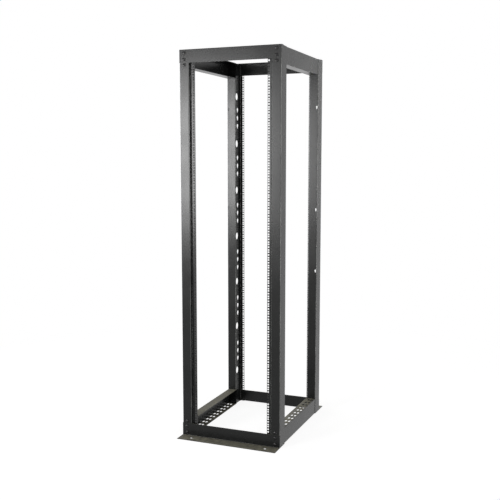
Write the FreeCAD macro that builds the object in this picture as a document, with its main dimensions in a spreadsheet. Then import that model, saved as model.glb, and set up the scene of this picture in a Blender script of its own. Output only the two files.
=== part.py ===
# Four-post open frame rack: four channel posts, four square-hole mounting rails, two top beams,
# two base angles and four side channels, all folded from sheet steel.
import FreeCAD, Part
import math
import os

import Sketcher
from FreeCAD import Rotation, Vector

# Driving dimensions in millimetres, with counts as plain numbers.
DIMENSIONS = {
    "rack_width": 624,
    "frame_depth": 762,
    "rack_height": 2286,
    "sheet_gauge": 2.5,
    "bend_radius": 4,
    "post_face": 58,
    "post_flange": 82,
    "rail_recess": 16,
    "rail_opening": 450.85,
    "hole_span": 465.1,
    "hole_size": 9.5,
    "rack_unit": 44.45,
    "unit_count": 48,
    "unit_first_hole": 6.35,
    "unit_hole_step": 15.875,
    "beam_height": 76.2,
    "beam_lip": 35,
    "tab_depth": 60,
    "foot_depth": 80,
    "anchor_span": 472,
    "anchor_diameter": 16,
    "channel_height": 98,
    "channel_depth": 60,
    "channel_nose": 53,
    "perforation_pitch": 55.6,
    "perforation_count": 12,
    "perforation_width": 14,
    "perforation_length": 28,
    "perforation_margin": 12,
    "perforation_row_gap": 20.5,
    "oval_width": 38,
    "oval_height": 46,
    "oval_pitch": 306.5,
    "oval_count": 7,
    "oval_lowest": 231,
    "oval_margin": 4,
    "slot_width": 27,
    "slot_tip": 9,
    "slot_height": 32,
    "slot_spacing": 52.4,
    "slot_group_pitch": 313.4,
    "slot_group_count": 6,
    "slot_lowest": 312,
    "slot_setback": 36,
    "hanger_width": 10,
    "hanger_tip": 4,
    "hanger_height": 20,
    "hanger_inset": 9,
    "hanger_low": 945,
    "hanger_middle": 1340,
    "hanger_high": 1985,
}

# Sides of the cable ovals, and of each end of a slot that is drawn with few sides.
OVAL_SIDES = 16
END_SIDES = 4
# Pairs of slots that brackets are bolted to, counted from 0 at the front.
BRACKET_PAIRS = (3, 8)
# The side channels run from inside the front posts' faces to the rear posts' faces.
CHANNEL_LENGTH = "frame_depth - post_flange - sheet_gauge"

doc = FreeCAD.newDocument("open_frame_rack")
sheet = doc.addObject("Spreadsheet::Sheet", "dims")
for row, (alias, size) in enumerate(DIMENSIONS.items(), start=1):
    sheet.set(f"A{row}", alias)
    sheet.set(f"B{row}", str(size))
    sheet.setAlias(f"B{row}", alias)
doc.recompute()


def bound(formula):
    """Prefix each dimension's name in a formula with the sheet that holds it."""
    words = formula.replace("(", "( ").replace(")", " )").split()
    return " ".join(f"dims.{word}" if word in DIMENSIONS else word for word in words)


def size(formula):
    """Value of a formula in the sheet's dimensions."""
    return float(sheet.evalExpression(bound(formula)))


def new_body(label):
    body = doc.addObject("PartDesign::Body", label)
    body.Label = label
    return body


def new_sketch(body, name, plane_role, offset="0"):
    """Empty sketch on one of the body's own planes, lifted along its normal by offset."""
    sketch = body.newObject("Sketcher::SketchObject", f"{body.Name}_{name}")
    plane = next(item for item in body.Origin.OriginFeatures if item.Role == plane_role)
    sketch.AttachmentSupport = [(plane, "")]
    sketch.MapMode = "FlatFace"
    sketch.setExpression("AttachmentOffset.Base.z", bound(offset))
    return sketch


def pin(sketch, kind, geometry, point, formula):
    """Hold a point at a distance from the sketch's origin, driven by the sheet."""
    index = sketch.addConstraint(Sketcher.Constraint(kind, -1, 1, geometry, point, size(formula)))
    sketch.setExpression(f"Constraints[{index}]", bound(formula))


def outline(sketch, corners):
    """Closed outline of straight edges through corners given as formulas."""
    points = [Vector(size(x), size(y), 0) for x, y in corners]
    edges = []
    for here, point in enumerate(points):
        following = points[(here + 1) % len(points)]
        edges.append(sketch.addGeometry(Part.LineSegment(point, following)))
    for here, edge in enumerate(edges):
        following = edges[(here + 1) % len(edges)]
        sketch.addConstraint(Sketcher.Constraint("Coincident", edge, 2, following, 1))
    for edge, (x, y) in zip(edges, corners):
        pin(sketch, "DistanceX", edge, 1, x)
        pin(sketch, "DistanceY", edge, 1, y)


def oval_corners(x, y, width, height):
    """Corners of a few-sided oval about a centre."""
    return arc_corners(x, y, width, height, [360 * step / OVAL_SIDES for step in range(OVAL_SIDES)])


def end_corners(x, y, width, start):
    """Corners of the few-sided half round that ends a slot, anticlockwise from a starting angle."""
    return arc_corners(x, y, width, width, [start + 180 * step / END_SIDES for step in range(END_SIDES + 1)])


def arc_corners(x, y, width, height, turns):
    """Points of an oval about a centre, at the given angles in degrees."""
    return [
        (f"{x} + {width} / 2 * cos( {turn} deg )", f"{y} + {height} / 2 * sin( {turn} deg )")
        for turn in turns
    ]


def keyhole(sketch, x, y, width, tip, height):
    """Hang-on hole about a centre: round above, tapering to a blunt tip below."""
    shoulder = f"{y} + {height} / 2 - {width} / 2"
    foot = f"{y} - {height} / 2"
    tips = [(f"{x} - {tip} / 2", foot), (f"{x} + {tip} / 2", foot)]
    outline(sketch, tips + end_corners(x, shoulder, width, 0))


def faceted_slot(sketch, x, y, width, length):
    """Slot along y about a centre, with few-sided ends."""
    half = f"( {length} - {width} ) / 2"
    far = end_corners(x, f"{y} + {half}", width, 0)
    near = end_corners(x, f"{y} - {half}", width, 180)
    outline(sketch, far + near)


def round_slot(sketch, x, y, width, length):
    """Slot along y about a centre, with truly round ends."""
    half = f"( {length} - {width} ) / 2"
    ends = []
    for middle, start in ((f"{y} + {half}", 0), (f"{y} - {half}", math.pi)):
        circle = Part.Circle(Vector(size(x), size(middle), 0), Vector(0, 0, 1), size(width) / 2)
        arc = sketch.addGeometry(Part.ArcOfCircle(circle, start, start + math.pi))
        hold_round(sketch, arc, x, middle, width)
        ends.append(arc)
    for leaving, reached in (ends, reversed(ends)):
        side = Part.LineSegment(sketch.getPoint(leaving, 2), sketch.getPoint(reached, 1))
        line = sketch.addGeometry(side)
        sketch.addConstraint(Sketcher.Constraint("Tangent", leaving, 2, line, 1))
        sketch.addConstraint(Sketcher.Constraint("Tangent", line, 2, reached, 1))


def round_hole(sketch, x, y, diameter):
    centre = Vector(size(x), size(y), 0)
    hole = sketch.addGeometry(Part.Circle(centre, Vector(0, 0, 1), size(diameter) / 2))
    hold_round(sketch, hole, x, y, diameter)


def hold_round(sketch, geometry, x, y, diameter):
    """Drive the centre and diameter of a circle or an arc from the sheet."""
    pin(sketch, "DistanceX", geometry, 3, x)
    pin(sketch, "DistanceY", geometry, 3, y)
    index = sketch.addConstraint(Sketcher.Constraint("Diameter", geometry, size(diameter)))
    sketch.setExpression(f"Constraints[{index}]", bound(diameter))


def pad(body, sketch, length, backwards=False):
    feature = body.newObject("PartDesign::Pad", f"{sketch.Name}_pad")
    feature.Profile = sketch
    feature.Reversed = backwards
    feature.setExpression("Length", bound(length))
    doc.recompute()
    return feature


def cut(body, sketch, backwards=False, depth="sheet_gauge * 1.5"):
    """Cut a sketch through the sheet, or to a given depth, and make sure that metal came away."""
    before = body.Shape.Volume
    feature = body.newObject("PartDesign::Pocket", f"{sketch.Name}_cut")
    feature.Profile = sketch
    feature.Reversed = backwards
    feature.setExpression("Length", bound(depth))
    doc.recompute()
    if body.Shape.Volume >= before:
        raise RuntimeError(f"{feature.Name} cuts nothing")
    return feature


def repeat(body, feature, axis_role, length, count):
    """Copies of a feature spread evenly over a length of the body's own axis."""
    pattern = body.newObject("PartDesign::LinearPattern", f"{feature.Name}_row")
    pattern.Originals = [feature]
    axis = next(item for item in body.Origin.OriginFeatures if item.Role == axis_role)
    pattern.Direction = (axis, [""])
    pattern.setExpression("Length", bound(length))
    pattern.setExpression("Occurrences", bound(count))
    body.Tip = pattern
    doc.recompute()
    return pattern


def round_bends(body, axis, outer_corners, inner_corners):
    """Give the folds their radius: outside the bend radius, inside the same less the sheet."""
    across = [index for index in range(3) if index != axis]
    for corners, radius in ((outer_corners, "bend_radius"), (inner_corners, "bend_radius - sheet_gauge")):
        wanted = [(size(first), size(second)) for first, second in corners]
        base = body.Tip
        names = []
        for number, edge in enumerate(base.Shape.Edges, start=1):
            ends = [vertex.Point for vertex in edge.Vertexes]
            for first, second in wanted:
                if all(abs(end[across[0]] - first) + abs(end[across[1]] - second) < 0.01 for end in ends):
                    names.append(f"Edge{number}")
        fillet = body.newObject("PartDesign::Fillet", f"{body.Name}_bends")
        fillet.Base = (base, names)
        fillet.setExpression("Radius", bound(radius))
        doc.recompute()


def place(body, x, y, z, turn_axis=None):
    """Set a body down at a point, half turned about an axis where one is given."""
    if turn_axis:
        body.Placement.Rotation = Rotation(turn_axis, 180)
    for name, formula in zip("xyz", (x, y, z)):
        body.setExpression(f"Placement.Base.{name}", bound(formula))


def post(label, perforated):
    """Channel post open to the rear: plain face in front, inner web at x = 0, side flange outside."""
    body = new_body(label)
    profile = new_sketch(body, "section", "XY_Plane")
    outline(profile, [
        ("0", "0"), ("post_face", "0"), ("post_face", "post_flange"),
        ("post_face - sheet_gauge", "post_flange"), ("post_face - sheet_gauge", "sheet_gauge"),
        ("sheet_gauge", "sheet_gauge"), ("sheet_gauge", "post_flange"), ("0", "post_flange"),
    ])
    pad(body, profile, "rack_height - sheet_gauge")
    round_bends(
        body, 2, [("0", "0"), ("post_face", "0")],
        [("sheet_gauge", "sheet_gauge"), ("post_face - sheet_gauge", "sheet_gauge")],
    )
    if perforated:
        cable_ovals(body)
        keyhole_slots(body)
        hanger_holes(body)
    return body


def cable_ovals(body):
    """Tall openings up the web, next to the fold of the face, for passing cables through."""
    sketch = new_sketch(body, "oval", "YZ_Plane")
    across = "oval_margin + oval_width / 2"
    outline(sketch, oval_corners(across, "oval_lowest", "oval_width", "oval_height"))
    repeat(body, cut(body, sketch, True), "Z_Axis", "oval_pitch * ( oval_count - 1 )", "oval_count")


def keyhole_slots(body):
    """Groups of three hang-on slots up the web, between the ovals."""
    sketch = new_sketch(body, "slot", "YZ_Plane")
    for step in range(3):
        height = f"slot_lowest + slot_spacing * {step}"
        keyhole(sketch, "slot_setback", height, "slot_width", "slot_tip", "slot_height")
    groups = "slot_group_pitch * ( slot_group_count - 1 )"
    repeat(body, cut(body, sketch, True), "Z_Axis", groups, "slot_group_count")


def hanger_holes(body):
    """Three small hang-on holes down the outer edge of the face."""
    sketch = new_sketch(body, "hanger", "XZ_Plane")
    for height in ("hanger_low", "hanger_middle", "hanger_high"):
        keyhole(sketch, "post_face - hanger_inset", height, "hanger_width", "hanger_tip", "hanger_height")
    cut(body, sketch)


def mounting_rail(label):
    """Angle with a narrow leg against the post and a flange punched with three holes to each unit."""
    body = new_body(label)
    flange = "( rack_width - rail_opening ) / 2 - post_face"
    profile = new_sketch(body, "section", "XY_Plane")
    outline(profile, [
        ("0", "0"), ("sheet_gauge", "0"), ("sheet_gauge", "rail_recess"), (flange, "rail_recess"),
        (flange, "rail_recess + sheet_gauge"), ("0", "rail_recess + sheet_gauge"),
    ])
    pad(body, profile, "rack_height - sheet_gauge")
    round_bends(
        body, 2, [("0", "rail_recess + sheet_gauge")], [("sheet_gauge", "rail_recess")],
    )
    column = "( rack_width - hole_span ) / 2 - post_face"
    sketch = new_sketch(body, "unit", "XZ_Plane", "- rail_recess")
    for step in range(3):
        height = f"beam_height + unit_first_hole + unit_hole_step * {step}"
        outline(sketch, [
            (f"{column} - hole_size / 2", f"{height} - hole_size / 2"),
            (f"{column} + hole_size / 2", f"{height} - hole_size / 2"),
            (f"{column} + hole_size / 2", f"{height} + hole_size / 2"),
            (f"{column} - hole_size / 2", f"{height} + hole_size / 2"),
        ])
    punched = cut(body, sketch)
    repeat(body, punched, "Z_Axis", "rack_unit * ( unit_count - 1 )", "unit_count")
    return body


def end_tabs(body, near, low, high):
    """Ears behind both ends of a rear beam, which lie against the side flanges of the posts."""
    sketch = new_sketch(body, "tab", "YZ_Plane", "sheet_gauge")
    far = f"{near} + tab_depth"
    outline(sketch, [(near, low), (far, low), (far, high), (near, high)])
    tab = pad(body, sketch, "sheet_gauge")
    repeat(body, tab, "X_Axis", "rack_width - 3 * sheet_gauge", "2")


def top_beam(label, tabbed):
    """Angle across the tops of two posts: a tall face outside them and a lip over them."""
    body = new_body(label)
    under_lip = "beam_height - sheet_gauge"
    profile = new_sketch(body, "section", "YZ_Plane")
    outline(profile, [
        ("0", "0"), ("sheet_gauge", "0"), ("sheet_gauge", under_lip), ("beam_lip", under_lip),
        ("beam_lip", "beam_height"), ("0", "beam_height"),
    ])
    pad(body, profile, "rack_width")
    round_bends(body, 0, [("0", "beam_height")], [("sheet_gauge", under_lip)])
    if tabbed:
        end_tabs(body, "sheet_gauge", "0", under_lip)
    return body


def base_angle(label, tabbed):
    """Angle across the feet of two posts: a tall face outside them and a drilled foot on the floor."""
    body = new_body(label)
    back = "foot_depth + sheet_gauge"
    profile = new_sketch(body, "section", "YZ_Plane")
    outline(profile, [
        ("0", "0"), (back, "0"), (back, "beam_height"), ("foot_depth", "beam_height"),
        ("foot_depth", "sheet_gauge"), ("0", "sheet_gauge"),
    ])
    pad(body, profile, "rack_width")
    round_bends(body, 0, [(back, "0")], [("foot_depth", "sheet_gauge")])
    anchors = new_sketch(body, "anchor", "XY_Plane")
    for side in ("-", "+"):
        round_hole(anchors, f"rack_width / 2 {side} anchor_span / 2", "foot_depth / 2", "anchor_diameter")
    cut(body, anchors, True)
    if tabbed:
        end_tabs(body, back, "sheet_gauge", "beam_height")
    return body


def side_channel(label, perforated):
    """Channel closed by tabs at both ends and open towards the rack, narrowed to enter the front post."""
    body = new_body(label)
    inside = "channel_depth - sheet_gauge"
    over = "channel_height - sheet_gauge"
    profile = new_sketch(body, "section", "XZ_Plane")
    outline(profile, [
        ("0", "0"), ("channel_depth", "0"), ("channel_depth", "channel_height"), ("0", "channel_height"),
        ("0", over), (inside, over), (inside, "sheet_gauge"), ("0", "sheet_gauge"),
    ])
    pad(body, profile, CHANNEL_LENGTH, True)
    round_bends(
        body, 1, [("channel_depth", "0"), ("channel_depth", "channel_height")],
        [(inside, over), (inside, "sheet_gauge")],
    )
    sketch = new_sketch(body, "end", "XZ_Plane")
    outline(sketch, [("0", "sheet_gauge"), (inside, "sheet_gauge"), (inside, over), ("0", over)])
    end = pad(body, sketch, "sheet_gauge", True)
    repeat(body, end, "Y_Axis", f"{CHANNEL_LENGTH} - sheet_gauge", "2")
    spare = "channel_depth - channel_nose"
    nose = new_sketch(body, "nose", "XY_Plane")
    outline(nose, [("0", "0"), (spare, "0"), (spare, "post_flange"), ("0", "post_flange")])
    cut(body, nose, True, "channel_height")
    if perforated:
        perforations(body)
    return body


def perforations(body):
    """Two rows of long slots along the upper flange, truly round in the pairs that brackets are bolted to."""
    first = f"( {CHANNEL_LENGTH} - perforation_pitch * ( perforation_count - 1 ) ) / 2"
    outer_row = "channel_depth - perforation_margin"
    bolted = (BRACKET_PAIRS[0], BRACKET_PAIRS[1] - BRACKET_PAIRS[0], 2, round_slot)
    runs = [bolted]
    edges = (-1, *BRACKET_PAIRS, DIMENSIONS["perforation_count"])
    for before, after in zip(edges, edges[1:]):
        runs.append((before + 1, 1, after - before - 1, faceted_slot))
    for start, step, count, draw in runs:
        sketch = new_sketch(body, "perforation", "XY_Plane", "channel_height")
        along = f"{first} + perforation_pitch * {start}"
        for across in (outer_row, f"{outer_row} - perforation_row_gap"):
            draw(sketch, across, along, "perforation_width", "perforation_length")
        repeat(body, cut(body, sketch), "Y_Axis", f"perforation_pitch * {step * (count - 1)}", str(count))


def mirror_image(label, source):
    """Copy of a piece on the other side, across the middle of the rack."""
    twin = doc.addObject("Part::Mirroring", label)
    twin.Label = label
    twin.Source = source
    twin.Normal = Vector(1, 0, 0)
    return twin


ABOUT_Y = Vector(0, 1, 0)
ABOUT_Z = Vector(0, 0, 1)
FRONT = "- frame_depth / 2"
TOP = "rack_height - sheet_gauge"
WEB = "rack_width / 2 - post_face"
REAR_POST = "frame_depth / 2 - post_flange"
parts = []

# Posts: the front pair is plain, the rear pair has cut-outs up its webs.
front_right_post = post("front_right_post", False)
place(front_right_post, WEB, FRONT, "0")
front_left_post = post("front_left_post", False)
place(front_left_post, f"- ( {WEB} )", FRONT, TOP, ABOUT_Y)
rear_right_post = post("rear_right_post", True)
place(rear_right_post, WEB, REAR_POST, "0")
rear_left_post = mirror_image("rear_left_post", rear_right_post)
parts += [front_right_post, front_left_post, rear_right_post, rear_left_post]

# Mounting rails: one angle, set back from the front faces and level with the rear edges of the posts.
rear_rail = "frame_depth / 2 - rail_recess - sheet_gauge"
for end, y in (("front", FRONT), ("rear", rear_rail)):
    rail = mounting_rail(f"{end}_left_mounting_rail")
    place(rail, f"- ( {WEB} )", y, "0")
    parts += [rail, mirror_image(f"{end}_right_mounting_rail", rail)]

# Beams across the top and base angles across the floor, front and rear.
front_top_beam = top_beam("front_top_beam", False)
place(front_top_beam, "- rack_width / 2", "- frame_depth / 2 - sheet_gauge", "rack_height - beam_height")
rear_top_beam = top_beam("rear_top_beam", True)
place(
    rear_top_beam, "rack_width / 2", "frame_depth / 2 + sheet_gauge", "rack_height - beam_height", ABOUT_Z
)
foot_line = "frame_depth / 2 + sheet_gauge + foot_depth"
front_base_angle = base_angle("front_base_angle", False)
place(front_base_angle, "- rack_width / 2", f"- ( {foot_line} )", "0")
rear_base_angle = base_angle("rear_base_angle", True)
place(rear_base_angle, "rack_width / 2", foot_line, "0", ABOUT_Z)
parts += [front_top_beam, rear_top_beam, front_base_angle, rear_base_angle]

# Side channels: the low left one is the low right one turned over, so its slots face the floor.
channel_inner = "rack_width / 2 - sheet_gauge - channel_depth"
channel_front = "- frame_depth / 2 + sheet_gauge"
right_bottom_channel = side_channel("right_bottom_channel", True)
place(right_bottom_channel, channel_inner, channel_front, "0")
left_bottom_channel = side_channel("left_bottom_channel", True)
place(left_bottom_channel, f"- ( {channel_inner} )", channel_front, "channel_height", ABOUT_Y)
right_top_channel = side_channel("right_top_channel", False)
place(right_top_channel, channel_inner, channel_front, "rack_height - sheet_gauge - channel_height")
left_top_channel = mirror_image("left_top_channel", right_top_channel)
parts += [right_bottom_channel, left_bottom_channel, right_top_channel, left_top_channel]

doc.recompute()
for item in doc.Objects:
    if "Invalid" in item.State or "Error" in item.State:
        raise RuntimeError(f"{item.Name} failed: {item.State}")
for piece in parts:
    if piece.Shape.isNull() or not piece.Shape.isValid():
        raise RuntimeError(f"{piece.Label} has no valid shape")

os.makedirs("parts", exist_ok=True)
for piece in parts:
    piece.Shape.exportStep(f"parts/{piece.Label}.step")
    print(f"{piece.Label}: {len(piece.Shape.Solids)} solid, {piece.Shape.Volume:.0f} mm3")
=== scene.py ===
# Four-post open frame rack in satin black powder coat, standing in a white studio.
import math

import bmesh
import bpy
from mathutils import Matrix, Vector


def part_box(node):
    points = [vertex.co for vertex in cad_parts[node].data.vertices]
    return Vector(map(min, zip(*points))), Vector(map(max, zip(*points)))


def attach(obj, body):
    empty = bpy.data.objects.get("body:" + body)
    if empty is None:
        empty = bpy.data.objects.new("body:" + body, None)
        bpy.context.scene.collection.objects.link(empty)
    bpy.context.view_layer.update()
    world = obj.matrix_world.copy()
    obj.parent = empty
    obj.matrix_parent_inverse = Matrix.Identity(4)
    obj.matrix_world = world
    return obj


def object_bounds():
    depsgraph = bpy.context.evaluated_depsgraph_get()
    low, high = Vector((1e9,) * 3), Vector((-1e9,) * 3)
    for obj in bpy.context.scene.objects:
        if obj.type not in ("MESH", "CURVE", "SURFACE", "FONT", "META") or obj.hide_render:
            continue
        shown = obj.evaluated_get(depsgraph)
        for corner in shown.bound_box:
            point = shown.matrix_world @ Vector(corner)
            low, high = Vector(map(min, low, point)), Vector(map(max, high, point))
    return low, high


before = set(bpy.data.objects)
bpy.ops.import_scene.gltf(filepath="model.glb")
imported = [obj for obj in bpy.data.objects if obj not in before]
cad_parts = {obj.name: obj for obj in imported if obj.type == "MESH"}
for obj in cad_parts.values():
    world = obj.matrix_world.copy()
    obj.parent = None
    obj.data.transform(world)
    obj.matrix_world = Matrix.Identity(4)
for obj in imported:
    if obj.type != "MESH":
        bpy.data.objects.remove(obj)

MM = 0.001                    # the scene is in metres
BODY = "root"
CAD_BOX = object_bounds()


def linear(hex_colour):
    """An sRGB hex colour as linear red, green, blue and alpha."""
    channels = [int(hex_colour[place:place + 2], 16) / 255 for place in (1, 3, 5)]
    return [c / 12.92 if c <= 0.04045 else ((c + 0.055) / 1.055) ** 2.4 for c in channels] + [1.0]


def add_node(tree, kind, inputs=None, **settings):
    """A new node with its settings; each input is a value or the socket that feeds it."""
    made = tree.nodes.new(kind)
    for name, value in settings.items():
        setattr(made, name, value)
    for socket, value in (inputs or {}).items():
        if isinstance(value, bpy.types.NodeSocket):
            tree.links.new(value, made.inputs[socket])
        else:
            made.inputs[socket].default_value = value
    return made


def new_material(name):
    """An empty node material, and its tree."""
    material = bpy.data.materials.new(name)
    material.use_nodes = True
    material.node_tree.nodes.clear()
    return material, material.node_tree


def add_object(name, shape):
    """A mesh, lamp or camera put into the scene as an object at the origin."""
    made = bpy.data.objects.new(name, shape)
    bpy.context.scene.collection.objects.link(made)
    return made


# Materials of the rack

def powder_coat():
    """Satin black polyester powder coat on steel: an even, faintly pebbled film with soft clear
    reflections, a painted highlight in light grey along the crests of the upright folds, and a thin
    grey-brown veil of settled dust on the surfaces that face up."""
    peel_width = 5 * MM       # the real pebbling is about 1.5 mm wide, drawn coarser so that it shows
    peel_depth = 0.2 * MM
    drift_width = 160 * MM    # slow drift in gloss where the film is thicker or thinner
    dust_width = 28 * MM      # patches in the dust, which is finer in truth and drawn coarser to show
    material, tree = new_material("satin_black_powder_coat")
    place = add_node(tree, "ShaderNodeTexCoord").outputs["Object"]
    drift = add_node(
        tree, "ShaderNodeTexNoise", {"Vector": place, "Scale": 1 / drift_width, "Detail": 3.0}
    ).outputs["Fac"]
    peel = add_node(
        tree, "ShaderNodeTexNoise", {"Vector": place, "Scale": 1 / peel_width, "Detail": 2.0}
    ).outputs["Fac"]
    patches = add_node(
        tree, "ShaderNodeTexNoise", {"Vector": place, "Scale": 1 / dust_width, "Detail": 4.0}
    ).outputs["Fac"]
    normal = add_node(tree, "ShaderNodeNewGeometry").outputs["Normal"]
    facing = add_node(tree, "ShaderNodeSeparateXYZ", {"Vector": normal}).outputs
    level = add_node(
        tree, "ShaderNodeMapRange", {"Value": facing["Z"], "From Min": 0.8, "From Max": 1.0}
    )
    # This product is nought on the flat faces and one half in the middle of an upright fold, where a
    # highlight is painted.
    slant = add_node(tree, "ShaderNodeMath", {0: facing["X"], 1: facing["Y"]}, operation="MULTIPLY")
    fold = add_node(tree, "ShaderNodeMath", {0: slant.outputs["Value"]}, operation="ABSOLUTE")
    crest = add_node(
        tree, "ShaderNodeMapRange", {"Value": fold.outputs["Value"], "From Min": 0.3, "From Max": 0.47}
    )
    # The painted highlight along the fold crests is broken up by the slow drift noise.
    highlight_breakup = add_node(
        tree, "ShaderNodeMapRange",
        {"Value": drift, "From Min": 0.35, "From Max": 0.6, "To Min": 0.4, "To Max": 1.0},
    )
    fold_highlight = add_node(
        tree, "ShaderNodeMath",
        {0: crest.outputs["Result"], 1: highlight_breakup.outputs["Result"]}, operation="MULTIPLY",
    ).outputs["Value"]
    thickness = add_node(
        tree, "ShaderNodeMapRange",
        {"Value": patches, "From Min": 0.3, "From Max": 0.7, "To Min": 0.35, "To Max": 1.0},
    )
    dust = add_node(
        tree, "ShaderNodeMath",
        {0: level.outputs["Result"], 1: thickness.outputs["Result"]}, operation="MULTIPLY",
    ).outputs["Value"]
    paint = add_node(
        tree, "ShaderNodeMix",
        {"Factor": drift, "A": linear("#0d0e0e"), "B": linear("#121313")}, data_type="RGBA",
    )
    dusted = add_node(
        tree, "ShaderNodeMix",
        {"Factor": dust, "A": paint.outputs["Result"], "B": linear("#545247")}, data_type="RGBA",
    )
    # Light grey mixed in along the fold crests is a painted highlight.
    paint_dust_and_highlight = add_node(
        tree, "ShaderNodeMix",
        {"Factor": fold_highlight, "A": dusted.outputs["Result"], "B": linear("#6f706e")}, data_type="RGBA",
    )
    satin = add_node(
        tree, "ShaderNodeMapRange",
        {"Value": drift, "From Min": 0.3, "From Max": 0.7, "To Min": 0.23, "To Max": 0.29},
    )
    dulled = add_node(
        tree, "ShaderNodeMapRange",
        {"Value": dust, "To Min": satin.outputs["Result"], "To Max": 0.75},
    )
    bump = add_node(
        tree, "ShaderNodeBump", {"Height": peel, "Strength": 0.025, "Distance": peel_depth}
    )
    shader = add_node(
        tree, "ShaderNodeBsdfPrincipled",
        {"Base Color": paint_dust_and_highlight.outputs["Result"], "Roughness": dulled.outputs["Result"],
         "Normal": bump.outputs["Normal"], "IOR": 1.5, "Specular IOR Level": 0.2},
    )
    add_node(tree, "ShaderNodeOutputMaterial", {"Surface": shader.outputs["BSDF"]})
    return material


def black_oxide():
    """Black oxide on turned steel: a dark oiled film, a little glossier than the paint around it."""
    grain_width = 2 * MM      # turning marks, drawn coarser than the real ones so that they show
    material, tree = new_material("black_oxide_steel")
    place = add_node(tree, "ShaderNodeTexCoord").outputs["Object"]
    grain = add_node(
        tree, "ShaderNodeTexNoise", {"Vector": place, "Scale": 1 / grain_width, "Detail": 2.0}
    ).outputs["Fac"]
    film = add_node(
        tree, "ShaderNodeMix",
        {"Factor": grain, "A": linear("#0c0c0d"), "B": linear("#161617")}, data_type="RGBA",
    )
    gloss = add_node(tree, "ShaderNodeMapRange", {"Value": grain, "To Min": 0.14, "To Max": 0.22})
    shader = add_node(
        tree, "ShaderNodeBsdfPrincipled",
        {"Base Color": film.outputs["Result"], "Roughness": gloss.outputs["Result"],
         "IOR": 1.5, "Specular IOR Level": 0.25},
    )
    add_node(tree, "ShaderNodeOutputMaterial", {"Surface": shader.outputs["BSDF"]})
    return material


# Fasteners

HEAD_DIAMETER = 18 * MM
HEAD_HEIGHT = 5 * MM
RIM_SHARE = 0.2               # upright part of the head's height, below the dome
SOCKET_DIAMETER = 6 * MM
SOCKET_DEPTH = 2.5 * MM
WASHER_DIAMETER = 22 * MM
WASHER_HEIGHT = 1.6 * MM
DOME_STEPS = 4
ROUND_STEPS = 24
MERGE_REACH = 0.01 * MM
SHARP_ANGLE = math.radians(40)


def dome_screw():
    """Low domed screw with a socket, on a flat washer, standing on the XY plane and facing +Z."""
    made = bmesh.new()
    rim = WASHER_HEIGHT + HEAD_HEIGHT * RIM_SHARE
    crown = WASHER_HEIGHT + HEAD_HEIGHT
    profile = [
        (WASHER_DIAMETER / 2, 0),
        (WASHER_DIAMETER / 2, WASHER_HEIGHT),
        (HEAD_DIAMETER / 2, WASHER_HEIGHT),
    ]
    for step in range(DOME_STEPS + 1):
        turn = math.pi / 2 * step / DOME_STEPS
        reach = SOCKET_DIAMETER / 2 + (HEAD_DIAMETER - SOCKET_DIAMETER) / 2 * math.cos(turn)
        profile.append((reach, rim + (crown - rim) * math.sin(turn)))
    profile += [(SOCKET_DIAMETER / 2, crown - SOCKET_DEPTH), (0, crown - SOCKET_DEPTH)]
    points = [made.verts.new((reach, 0, height)) for reach, height in profile]
    edges = [made.edges.new(pair) for pair in zip(points, points[1:])]
    bmesh.ops.spin(
        made, geom=points + edges, axis=(0, 0, 1), cent=(0, 0, 0),
        angle=math.tau, steps=ROUND_STEPS, use_merge=True,
    )
    bmesh.ops.remove_doubles(made, verts=made.verts, dist=MERGE_REACH)
    bmesh.ops.recalc_face_normals(made, faces=made.faces)
    return made


def screws(name, seats):
    """One piece of several screws, each seated at a place on a surface that faces the given way."""
    pattern = bpy.data.meshes.new(f"{name}_pattern")
    one = dome_screw()
    one.to_mesh(pattern)
    one.free()
    joined = bmesh.new()
    for place, facing in seats:
        seated = len(joined.verts)
        joined.from_mesh(pattern)
        joined.verts.ensure_lookup_table()
        turn = Vector((0, 0, 1)).rotation_difference(Vector(facing)).to_matrix().to_4x4()
        bmesh.ops.transform(joined, matrix=Matrix.Translation(place) @ turn, verts=joined.verts[seated:])
    shape = bpy.data.meshes.new(name)
    joined.to_mesh(shape)
    joined.free()
    bpy.data.meshes.remove(pattern)
    shape.materials.append(OXIDE)
    shape.set_sharp_from_angle(angle=SHARP_ANGLE)
    piece = add_object(name, shape)
    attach(piece, BODY)


# Finish of the folded pieces

COAT = powder_coat()
OXIDE = black_oxide()
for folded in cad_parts.values():
    folded.data.materials.clear()
    folded.data.materials.append(COAT)

# Screws at the corners

BEAM_SCREW_INSETS = (20 * MM, 57 * MM)          # up from the floor, or down from the top
CHANNEL_SCREW_INSET = 87 * MM
REAR_CHANNEL_SCREW_INSETS = (28 * MM, 70 * MM)
SHEET = 2.5 * MM                                # thickness of the folded steel
TO_FRONT = (0, -1, 0)
TO_REAR = (0, 1, 0)
rack_top = CAD_BOX[1].z
beam_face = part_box("front_top_beam")[0].y
ear_middle = (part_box("rear_top_beam")[0].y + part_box("rear_left_post")[1].y) / 2
for side, outward in (("left", -1), ("right", 1)):
    front_low, front_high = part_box(f"front_{side}_post")
    rear_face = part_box(f"rear_{side}_post")[0].y
    middle = (front_low.x + front_high.x) / 2
    ear_face = outward * (CAD_BOX[1].x - 2 * SHEET)
    for end, base, upward in (("top", rack_top, -1), ("foot", 0, 1)):
        # In front, two screws hold the beam or base angle, and one holds the side channel.
        front_seats = [
            ((middle, beam_face, base + upward * inset), TO_FRONT) for inset in BEAM_SCREW_INSETS
        ]
        front_seats.append(((middle, front_low.y, base + upward * CHANNEL_SCREW_INSET), TO_FRONT))
        screws(f"front_{side}_{end}_screws", front_seats)
        # At the rear, two screws hold an ear and two the side channel, with their heads inside the post.
        rear_seats = [
            ((ear_face, ear_middle, base + upward * inset), (-outward, 0, 0))
            for inset in BEAM_SCREW_INSETS
        ]
        rear_seats += [
            ((middle, rear_face + SHEET, base + upward * inset), TO_REAR)
            for inset in REAR_CHANNEL_SCREW_INSETS
        ]
        screws(f"rear_{side}_{end}_screws", rear_seats)

# Studio: white surroundings, with soft lamps to the left of the camera, overhead and on each side

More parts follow.
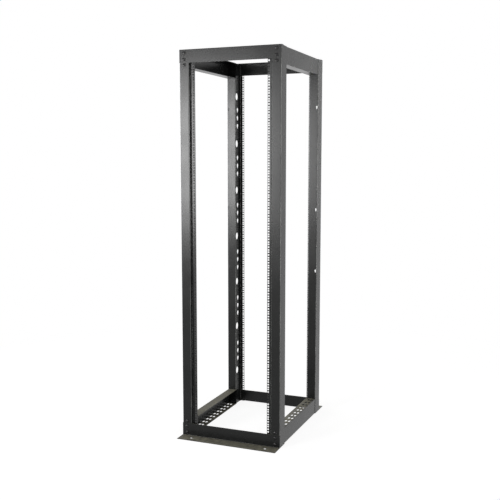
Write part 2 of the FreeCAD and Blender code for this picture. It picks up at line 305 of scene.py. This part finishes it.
FILL_LIGHT = 0.1              # how brightly the white surroundings light the rack
FLOOR_REACH = 40              # metres from the rack's middle to each edge of the floor
LAMP_DISTANCE = 4.4           # metres from the rack's middle
LAMP_HEIGHT = 1.75
LAMP_AIM = (0.0, 0.0, 1.4)    # a little above the rack's middle


def white_where_seen(tree):
    """One where the eye, a reflection or a view through glass meets the surface, and nought for light."""
    rays = add_node(tree, "ShaderNodeLightPath").outputs
    direct = add_node(
        tree, "ShaderNodeMath", {0: rays["Is Camera Ray"], 1: rays["Is Glossy Ray"]}, operation="MAXIMUM"
    )
    seen = add_node(
        tree, "ShaderNodeMath",
        {0: direct.outputs["Value"], 1: rays["Is Transmission Ray"]}, operation="MAXIMUM",
    )
    return seen.outputs["Value"]


def white_world(fill):
    """White all round, and dimmer as a source of light."""
    world = bpy.data.worlds.new("white_studio")
    bpy.context.scene.world = world
    world.use_nodes = True
    tree = world.node_tree
    tree.nodes.clear()
    strength = add_node(
        tree, "ShaderNodeMapRange", {"Value": white_where_seen(tree), "To Min": fill, "To Max": 1.0}
    )
    around = add_node(
        tree, "ShaderNodeBackground",
        {"Color": linear("#ffffff"), "Strength": strength.outputs["Result"]},
    )
    add_node(tree, "ShaderNodeOutputWorld", {"Surface": around.outputs["Background"]})


def floor_paint():
    """Matt white floor paint: plain white to the eye, with a light shadow left on it near the rack."""
    shadow_reach = 1.2        # metres from the rack's middle to where the shadow starts to fade
    shadow_end = 3.0          # metres to where it is gone
    nearest_white = 0.88      # share of plain white beside the rack, where the rest shows the shadow
    material, tree = new_material("matt_white_floor_paint")
    place = add_node(tree, "ShaderNodeTexCoord").outputs["Object"]
    away = add_node(tree, "ShaderNodeVectorMath", {0: place}, operation="LENGTH").outputs["Value"]
    whiteness = add_node(
        tree, "ShaderNodeMapRange",
        {"Value": away, "From Min": shadow_reach, "From Max": shadow_end, "To Min": nearest_white},
    )
    share = add_node(
        tree, "ShaderNodeMath",
        {0: white_where_seen(tree), 1: whiteness.outputs["Result"]}, operation="MULTIPLY",
    )
    lit = add_node(tree, "ShaderNodeBsdfDiffuse", {"Color": linear("#f2f2f0")})
    white = add_node(tree, "ShaderNodeEmission", {"Color": linear("#ffffff"), "Strength": 1.0})
    mix = add_node(
        tree, "ShaderNodeMixShader",
        {0: share.outputs["Value"], 1: lit.outputs["BSDF"], 2: white.outputs["Emission"]},
    )
    add_node(tree, "ShaderNodeOutputMaterial", {"Surface": mix.outputs["Shader"]})
    return material


def soft_panel(name, place, target, width, height, radiance):
    """A flat lamp of the given size, as bright as its radiance all over, aimed at a target."""
    lamp = bpy.data.lights.new(name, "AREA")
    lamp.shape = "RECTANGLE"
    lamp.size = width
    lamp.size_y = height
    lamp.energy = radiance * math.pi * width * height
    panel = add_object(name, lamp)
    panel.location = place
    panel.rotation_euler = (Vector(target) - Vector(place)).to_track_quat("-Z", "Y").to_euler()


white_world(FILL_LIGHT)
soft_panel(
    "front_left_panel", place=(-1.78, -3.6, LAMP_HEIGHT), target=(-0.98, -0.4, 1.7),
    width=1.3, height=1.5, radiance=29,
)
soft_panel(
    "overhead_panel", place=(0.3, 0.4, 4.6), target=(0.0, 0.0, 1.0),
    width=2.5, height=2.5, radiance=3,
)
soft_panel(
    "front_panel", place=(0.0, -LAMP_DISTANCE, LAMP_HEIGHT), target=LAMP_AIM,
    width=1.2, height=1.8, radiance=5,
)
# The rear lamp is narrow, so that the flanges that face up don't mirror it to the camera.
soft_panel(
    "rear_panel", place=(0.1, LAMP_DISTANCE, 1.9), target=LAMP_AIM,
    width=0.8, height=1.8, radiance=16,
)
for name, outward in (("right_panel", 1), ("left_panel", -1)):
    soft_panel(
        name, place=(outward * LAMP_DISTANCE, 0.0, LAMP_HEIGHT), target=LAMP_AIM,
        width=2.4, height=1.8, radiance=14,
    )

ground = bmesh.new()
bmesh.ops.create_grid(ground, x_segments=1, y_segments=1, size=FLOOR_REACH)
ground_shape = bpy.data.meshes.new("studio_floor")
ground.to_mesh(ground_shape)
ground.free()
ground_shape.materials.append(floor_paint())
add_object("studio_floor", ground_shape)

# Camera: to the right of the front, at about three quarters of the rack's height

IMAGE_WIDTH = 500             # in pixels of the photograph
FOCAL_LENGTH = 784.5          # in pixels of the photograph
SENSOR_WIDTH = 36             # in millimetres
CAMERA_RIGHT = 1.8005         # metres to the right of the rack's middle
CAMERA_BEFORE = 4.1179        # metres in front of the front posts
CAMERA_HEIGHT = 1.6544
YAW = math.radians(22.13)
PITCH = math.radians(6.52)
eye = bpy.data.cameras.new("camera")
eye.sensor_width = SENSOR_WIDTH
eye.lens = eye.sensor_width * FOCAL_LENGTH / IMAGE_WIDTH
camera = add_object("camera", eye)
camera.location = (CAMERA_RIGHT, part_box("front_left_post")[0].y - CAMERA_BEFORE, CAMERA_HEIGHT)
looking = Vector((-math.sin(YAW) * math.cos(PITCH), math.cos(YAW) * math.cos(PITCH), -math.sin(PITCH)))
camera.rotation_euler = looking.to_track_quat("-Z", "Y").to_euler()
bpy.context.scene.camera = camera
bpy.context.scene.view_settings.view_transform = "Standard"
# By default the noise filter smooths its guides first, which blurs the square holes into a grey strip.
bpy.context.scene.cycles.denoising_prefilter = "FAST"
